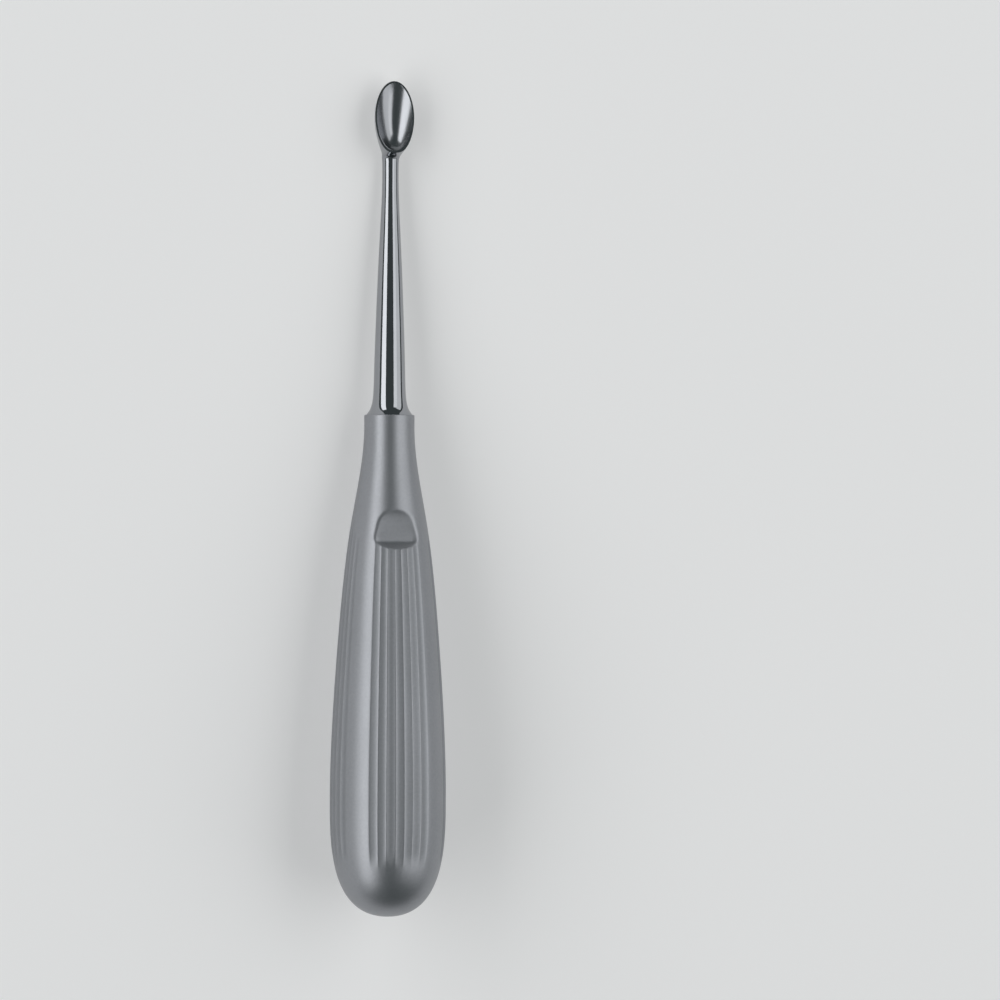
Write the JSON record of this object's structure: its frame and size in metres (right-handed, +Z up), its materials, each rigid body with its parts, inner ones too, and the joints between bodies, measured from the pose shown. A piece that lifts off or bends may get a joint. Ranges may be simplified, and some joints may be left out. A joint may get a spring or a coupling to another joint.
{
  "type": "bone curette",
  "caption": "Surgical bone curette: a sharp oval cup on a tapered shank, in a hollow fluted steel handle with a thumb rest.",
  "frame": {"origin": "on the table under the middle of the instrument's length, where it lies on its back", "axes": "+Y from the handle towards the cup, +Z up, out of the cup's opening and the thumb rest, +X to the right"},
  "size_m": [0.0236, 0.1696, 0.0253],
  "materials": {
    "handle_steel": "satin, fine bead-blasted stainless steel",
    "spoon_steel": "mirror-polished stainless steel"
  },
  "bodies": {
    "root": {"handle_shell": "handle_steel", "spoon_shank": "spoon_steel"}
  },
  "joints": []
}
